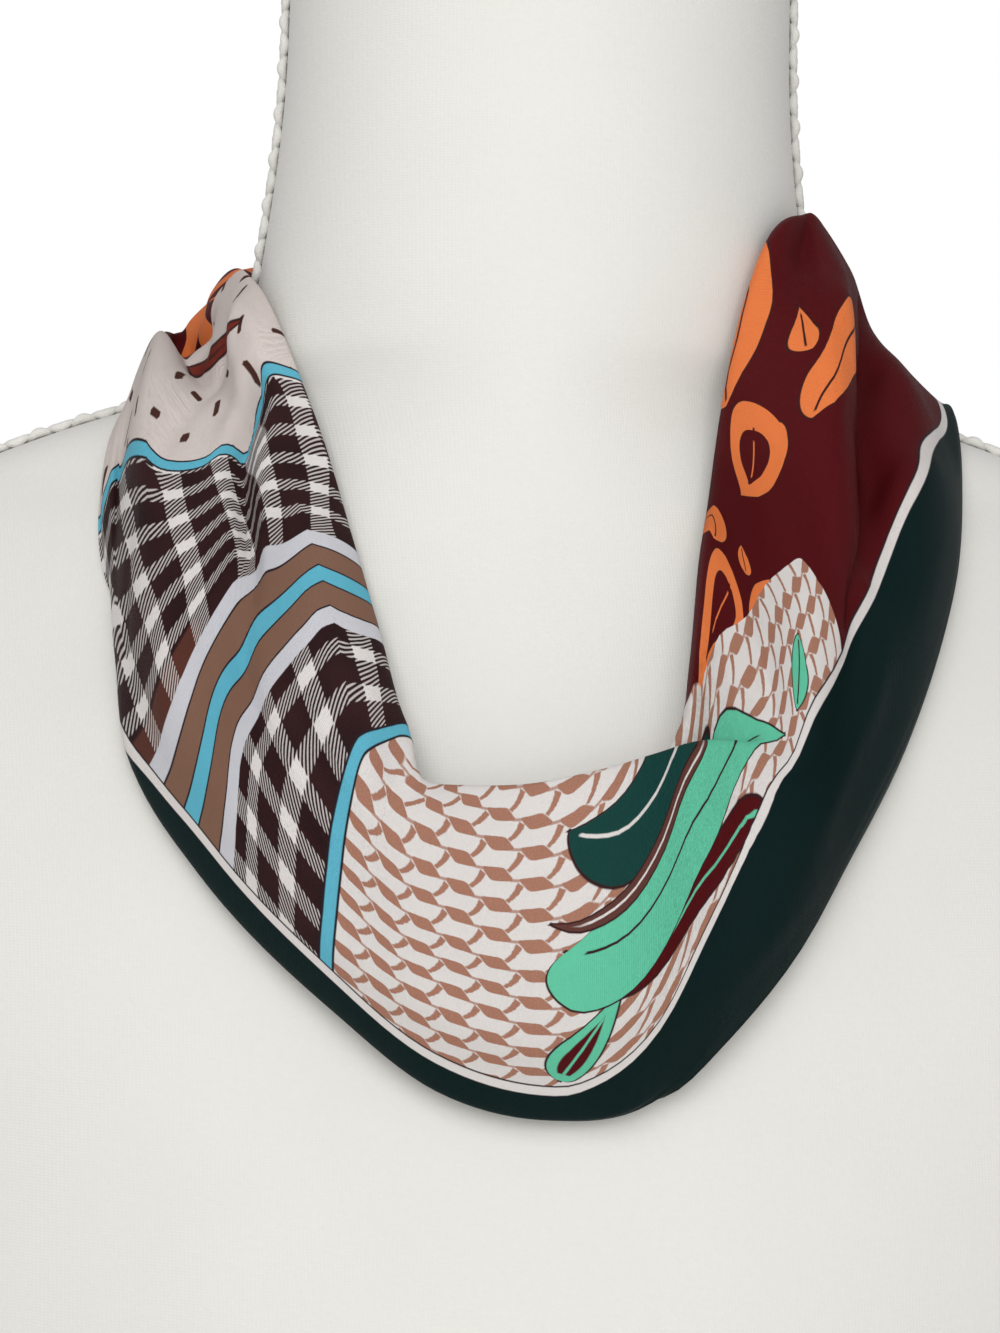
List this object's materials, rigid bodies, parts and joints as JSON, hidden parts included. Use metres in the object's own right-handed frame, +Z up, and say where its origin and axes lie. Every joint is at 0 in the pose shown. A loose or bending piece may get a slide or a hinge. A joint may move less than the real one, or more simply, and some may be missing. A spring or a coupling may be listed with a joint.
{
  "type": "scarf necklace on a display bust",
  "caption": "Printed satin scarf folded lengthwise and closed into a ring, resting in soft folds round the neck of a limbless display bust.",
  "frame": {"origin": "on the table that the bust stands on, under the axis of its neck", "axes": "+Z up along the neck, -Y towards the front of the bust, +X towards the viewer's right"},
  "size_m": [0.3622, 0.2149, 0.365],
  "materials": {
    "cover_jersey": "matt knitted jersey",
    "seam_braid": "matt crocheted chain",
    "satin_check": "soft satin",
    "satin_houndstooth": "soft satin",
    "satin_burgundy": "soft satin"
  },
  "bodies": {
    "root": {"bust_form": "cover_jersey", "seam_braid_left": "seam_braid", "seam_braid_right": "seam_braid", "scarf_left_stretch": "satin_check", "scarf_front_drape": "satin_houndstooth", "scarf_right_stretch": "satin_burgundy", "scarf_back_stretch": "satin_burgundy"}
  },
  "joints": []
}
